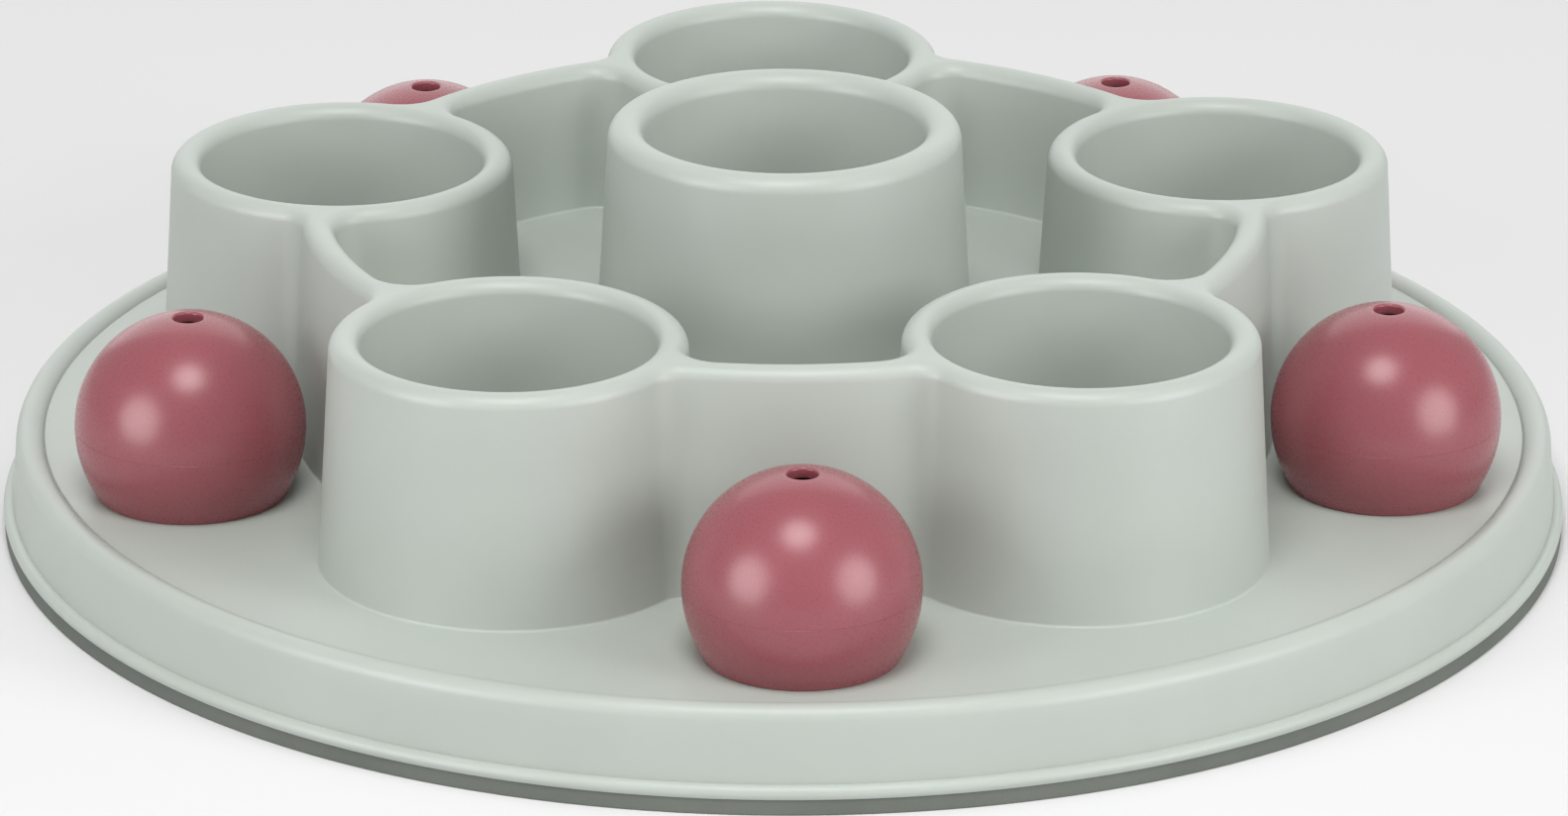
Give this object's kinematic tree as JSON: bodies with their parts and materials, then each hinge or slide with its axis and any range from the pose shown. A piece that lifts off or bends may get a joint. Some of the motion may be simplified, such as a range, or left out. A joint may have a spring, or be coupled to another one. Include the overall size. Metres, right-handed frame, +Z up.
{
  "type": "cat activity board",
  "caption": "Round moulded cat activity board with a ring of open treat cups joined by a ring wall, a taller middle cup, loose dome hoods on the outer deck and a non-slip ring underneath.",
  "frame": {"origin": "on the table, under the middle of the board", "axes": "+Z up, -Y to the front where hood 1 stands, +X to the right seen from the front"},
  "size_m": [0.28, 0.28, 0.0729],
  "materials": {
    "board_plastic": "matte, pale sage grey moulded plastic with a fine spark-eroded grain",
    "soft_ring": "dull dark grey-green soft non-slip rubber",
    "hood_plastic": "satin berry-pink moulded plastic"
  },
  "bodies": {
    "board": {"deck": "board_plastic", "inner_deck": "board_plastic", "middle_cup": "board_plastic", "cup_1": "board_plastic", "cup_2": "board_plastic", "cup_3": "board_plastic", "cup_4": "board_plastic", "cup_5": "board_plastic", "ring_wall_1": "board_plastic", "ring_wall_2": "board_plastic", "ring_wall_3": "board_plastic", "ring_wall_4": "board_plastic", "ring_wall_5": "board_plastic", "nonslip_ring": "soft_ring"},
    "hood_1": {"hood_1_upper_shell": "hood_plastic", "hood_1_lower_shell": "hood_plastic"},
    "hood_2": {"hood_2_upper_shell": "hood_plastic", "hood_2_lower_shell": "hood_plastic"},
    "hood_3": {"hood_3_upper_shell": "hood_plastic", "hood_3_lower_shell": "hood_plastic"},
    "hood_4": {"hood_4_upper_shell": "hood_plastic", "hood_4_lower_shell": "hood_plastic"},
    "hood_5": {"hood_5_upper_shell": "hood_plastic", "hood_5_lower_shell": "hood_plastic"}
  },
  "joints": [
    {"name": "hood_1_lift", "type": "slide", "parent": "board", "child": "hood_1", "axis": [0, 0, 1], "range_m": [0, 0.06]},
    {"name": "hood_2_lift", "type": "slide", "parent": "board", "child": "hood_2", "axis": [0, 0, 1], "range_m": [0, 0.06]},
    {"name": "hood_3_lift", "type": "slide", "parent": "board", "child": "hood_3", "axis": [0, 0, 1], "range_m": [0, 0.06]},
    {"name": "hood_4_lift", "type": "slide", "parent": "board", "child": "hood_4", "axis": [0, 0, 1], "range_m": [0, 0.06]},
    {"name": "hood_5_lift", "type": "slide", "parent": "board", "child": "hood_5", "axis": [0, 0, 1], "range_m": [0, 0.06]}
  ]
}
